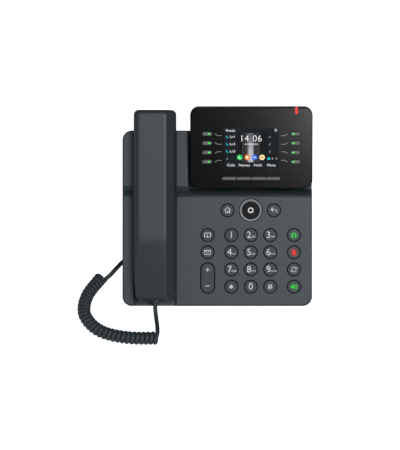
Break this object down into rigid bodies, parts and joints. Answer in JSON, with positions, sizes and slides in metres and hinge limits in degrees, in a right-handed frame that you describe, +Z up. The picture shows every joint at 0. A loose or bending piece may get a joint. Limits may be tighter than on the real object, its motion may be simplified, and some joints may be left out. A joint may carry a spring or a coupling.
{
  "type": "desk ip phone",
  "caption": "Sloping desk telephone with a keypad, a tilting screen unit, a lift-off handset on a cradle, a coiled cord and a rear stand.",
  "frame": {"origin": "middle of the footprint, without the cord, on the desk", "axes": "+X to the user's right, +Y to the back, +Z up; the user sits on the -Y side"},
  "size_m": [0.2499, 0.2038, 0.1768],
  "materials": {
    "housing": "fine matte texture",
    "housing_back": "matte texture",
    "foot_rubber": "matte",
    "screw_steel": "zinc plated",
    "board": "solder mask",
    "mat_rubber": "matte",
    "speaker": "matte",
    "socket_metal": "stamped shield",
    "socket_plastic": "matte",
    "gloss_black": "satin gloss",
    "screen": "glossy",
    "lamp_red": "glossy",
    "pin_steel": "ground",
    "handset_shell": "fine matte texture",
    "handset_inner": "fine matte texture",
    "plug_plastic": "satin",
    "cord": "satin",
    "ring_grey": "satin",
    "key_grey": "fine matte",
    "line_key_grey": "fine matte"
  },
  "bodies": {
    "base": {"front_housing": "housing", "rear_housing": "housing_back", "stand": "housing_back", "rubber_feet": "foot_rubber", "housing_screws": "screw_steel", "main_board": "board", "keypad_board": "board", "keypad_mat": "mat_rubber", "loudspeaker": "speaker", "network_jacks": "socket_metal", "cord_jacks": "socket_plastic", "display_hinge_pins": "pin_steel", "cord_plug_base": "plug_plastic", "cord_leads": "cord", "cord_coil": "cord"},
    "display": {"display_bezel": "gloss_black", "display_back": "housing_back", "lcd_panel": "screen", "message_lamp": "lamp_red"},
    "handset": {"handset_grip": "handset_shell", "handset_cups": "handset_inner", "handset_receiver": "speaker", "handset_microphone": "speaker", "cord_plug_handset": "plug_plastic"},
    "hook_switch": {"hook_switch": "socket_plastic"},
    "nav_ring": {"nav_ring": "ring_grey"},
    "volume_rocker": {"volume_rocker": "key_grey"},
    "key_home": {"key_home": "key_grey"},
    "key_back": {"key_back": "key_grey"},
    "key_ok": {"key_ok": "gloss_black"},
    "key_phonebook": {"key_phonebook": "key_grey"},
    "key_messages": {"key_messages": "key_grey"},
    "key_headset": {"key_headset": "key_grey"},
    "key_mute": {"key_mute": "key_grey"},
    "key_redial": {"key_redial": "key_grey"},
    "key_speaker": {"key_speaker": "key_grey"},
    "key_star": {"key_star": "key_grey"},
    "key_0": {"key_0": "key_grey"},
    "key_hash": {"key_hash": "key_grey"},
    "key_1": {"key_1": "key_grey"},
    "key_2": {"key_2": "key_grey"},
    "key_3": {"key_3": "key_grey"},
    "key_4": {"key_4": "key_grey"},
    "key_5": {"key_5": "key_grey"},
    "key_6": {"key_6": "key_grey"},
    "key_7": {"key_7": "key_grey"},
    "key_8": {"key_8": "key_grey"},
    "key_9": {"key_9": "key_grey"},
    "line_key_1": {"line_key_1": "line_key_grey"},
    "line_key_2": {"line_key_2": "line_key_grey"},
    "line_key_3": {"line_key_3": "line_key_grey"},
    "line_key_4": {"line_key_4": "line_key_grey"},
    "line_key_5": {"line_key_5": "line_key_grey"},
    "line_key_6": {"line_key_6": "line_key_grey"},
    "line_key_7": {"line_key_7": "line_key_grey"},
    "line_key_8": {"line_key_8": "line_key_grey"},
    "soft_key_1": {"soft_key_1": "line_key_grey"},
    "soft_key_2": {"soft_key_2": "line_key_grey"},
    "soft_key_3": {"soft_key_3": "line_key_grey"},
    "soft_key_4": {"soft_key_4": "line_key_grey"}
  },
  "joints": [
    {"name": "display_tilt", "type": "hinge", "parent": "base", "child": "display", "pos_m": [0, 0.02927, 0.10629], "axis": [1, 0, 0], "range_deg": [-10, 20]},
    {"name": "handset_lift", "type": "slide", "parent": "base", "child": "handset", "axis": [0, -0.7071, 0.7071], "range_m": [0, 0.06]},
    {"name": "hook_rise", "type": "slide", "parent": "base", "child": "hook_switch", "axis": [0, -0.7071, 0.7071], "range_m": [0, 0.003]},
    {"name": "nav_tilt", "type": "hinge", "parent": "base", "child": "nav_ring", "pos_m": [0.03565, 0.00057, 0.08239], "axis": [1, 0, 0], "range_deg": [-2, 2], "stiffness_Nm_per_rad": 0.05},
    {"name": "volume_rock", "type": "hinge", "parent": "base", "child": "volume_rocker", "pos_m": [-0.01035, -0.05052, 0.0313], "axis": [1, 0, 0], "range_deg": [-2.5, 2.5], "stiffness_Nm_per_rad": 0.05},
    {"name": "press_key_home", "type": "slide", "parent": "base", "child": "key_home", "axis": [0, 0.7071, -0.7071], "range_m": [0, 0.001], "stiffness_N_per_m": 400},
    {"name": "press_key_back", "type": "slide", "parent": "base", "child": "key_back", "axis": [0, 0.7071, -0.7071], "range_m": [0, 0.001], "stiffness_N_per_m": 400},
    {"name": "press_key_ok", "type": "slide", "parent": "base", "child": "key_ok", "axis": [0, 0.7071, -0.7071], "range_m": [0, 0.001], "stiffness_N_per_m": 400},
    {"name": "press_key_phonebook", "type": "slide", "parent": "base", "child": "key_phonebook", "axis": [0, 0.7071, -0.7071], "range_m": [0, 0.001], "stiffness_N_per_m": 400},
    {"name": "press_key_messages", "type": "slide", "parent": "base", "child": "key_messages", "axis": [0, 0.7071, -0.7071], "range_m": [0, 0.001], "stiffness_N_per_m": 400},
    {"name": "press_key_headset", "type": "slide", "parent": "base", "child": "key_headset", "axis": [0, 0.7071, -0.7071], "range_m": [0, 0.001], "stiffness_N_per_m": 400},
    {"name": "press_key_mute", "type": "slide", "parent": "base", "child": "key_mute", "axis": [0, 0.7071, -0.7071], "range_m": [0, 0.001], "stiffness_N_per_m": 400},
    {"name": "press_key_redial", "type": "slide", "parent": "base", "child": "key_redial", "axis": [0, 0.7071, -0.7071], "range_m": [0, 0.001], "stiffness_N_per_m": 400},
    {"name": "press_key_speaker", "type": "slide", "parent": "base", "child": "key_speaker", "axis": [0, 0.7071, -0.7071], "range_m": [0, 0.001], "stiffness_N_per_m": 400},
    {"name": "press_key_star", "type": "slide", "parent": "base", "child": "key_star", "axis": [0, 0.7071, -0.7071], "range_m": [0, 0.001], "stiffness_N_per_m": 400},
    {"name": "press_key_0", "type": "slide", "parent": "base", "child": "key_0", "axis": [0, 0.7071, -0.7071], "range_m": [0, 0.001], "stiffness_N_per_m": 400},
    {"name": "press_key_hash", "type": "slide", "parent": "base", "child": "key_hash", "axis": [0, 0.7071, -0.7071], "range_m": [0, 0.001], "stiffness_N_per_m": 400},
    {"name": "press_key_1", "type": "slide", "parent": "base", "child": "key_1", "axis": [0, 0.7071, -0.7071], "range_m": [0, 0.001], "stiffness_N_per_m": 400},
    {"name": "press_key_2", "type": "slide", "parent": "base", "child": "key_2", "axis": [0, 0.7071, -0.7071], "range_m": [0, 0.001], "stiffness_N_per_m": 400},
    {"name": "press_key_3", "type": "slide", "parent": "base", "child": "key_3", "axis": [0, 0.7071, -0.7071], "range_m": [0, 0.001], "stiffness_N_per_m": 400},
    {"name": "press_key_4", "type": "slide", "parent": "base", "child": "key_4", "axis": [0, 0.7071, -0.7071], "range_m": [0, 0.001], "stiffness_N_per_m": 400},
    {"name": "press_key_5", "type": "slide", "parent": "base", "child": "key_5", "axis": [0, 0.7071, -0.7071], "range_m": [0, 0.001], "stiffness_N_per_m": 400},
    {"name": "press_key_6", "type": "slide", "parent": "base", "child": "key_6", "axis": [0, 0.7071, -0.7071], "range_m": [0, 0.001], "stiffness_N_per_m": 400},
    {"name": "press_key_7", "type": "slide", "parent": "base", "child": "key_7", "axis": [0, 0.7071, -0.7071], "range_m": [0, 0.001], "stiffness_N_per_m": 400},
    {"name": "press_key_8", "type": "slide", "parent": "base", "child": "key_8", "axis": [0, 0.7071, -0.7071], "range_m": [0, 0.001], "stiffness_N_per_m": 400},
    {"name": "press_key_9", "type": "slide", "parent": "base", "child": "key_9", "axis": [0, 0.7071, -0.7071], "range_m": [0, 0.001], "stiffness_N_per_m": 400},
    {"name": "press_line_key_1", "type": "slide", "parent": "display", "child": "line_key_1", "axis": [0, 0.8192, -0.5736], "range_m": [0, 0.0006], "stiffness_N_per_m": 400},
    {"name": "press_line_key_2", "type": "slide", "parent": "display", "child": "line_key_2", "axis": [0, 0.8192, -0.5736], "range_m": [0, 0.0006], "stiffness_N_per_m": 400},
    {"name": "press_line_key_3", "type": "slide", "parent": "display", "child": "line_key_3", "axis": [0, 0.8192, -0.5736], "range_m": [0, 0.0006], "stiffness_N_per_m": 400},
    {"name": "press_line_key_4", "type": "slide", "parent": "display", "child": "line_key_4", "axis": [0, 0.8192, -0.5736], "range_m": [0, 0.0006], "stiffness_N_per_m": 400},
    {"name": "press_line_key_5", "type": "slide", "parent": "display", "child": "line_key_5", "axis": [0, 0.8192, -0.5736], "range_m": [0, 0.0006], "stiffness_N_per_m": 400},
    {"name": "press_line_key_6", "type": "slide", "parent": "display", "child": "line_key_6", "axis": [0, 0.8192, -0.5736], "range_m": [0, 0.0006], "stiffness_N_per_m": 400},
    {"name": "press_line_key_7", "type": "slide", "parent": "display", "child": "line_key_7", "axis": [0, 0.8192, -0.5736], "range_m": [0, 0.0006], "stiffness_N_per_m": 400},
    {"name": "press_line_key_8", "type": "slide", "parent": "display", "child": "line_key_8", "axis": [0, 0.8192, -0.5736], "range_m": [0, 0.0006], "stiffness_N_per_m": 400},
    {"name": "press_soft_key_1", "type": "slide", "parent": "display", "child": "soft_key_1", "axis": [0, 0.8192, -0.5736], "range_m": [0, 0.0006], "stiffness_N_per_m": 400},
    {"name": "press_soft_key_2", "type": "slide", "parent": "display", "child": "soft_key_2", "axis": [0, 0.8192, -0.5736], "range_m": [0, 0.0006], "stiffness_N_per_m": 400},
    {"name": "press_soft_key_3", "type": "slide", "parent": "display", "child": "soft_key_3", "axis": [0, 0.8192, -0.5736], "range_m": [0, 0.0006], "stiffness_N_per_m": 400},
    {"name": "press_soft_key_4", "type": "slide", "parent": "display", "child": "soft_key_4", "axis": [0, 0.8192, -0.5736], "range_m": [0, 0.0006], "stiffness_N_per_m": 400}
  ],
  "couplings": [
    {"joint": "hook_rise", "follows": "handset_lift", "ratio": 0.05}
  ]
}
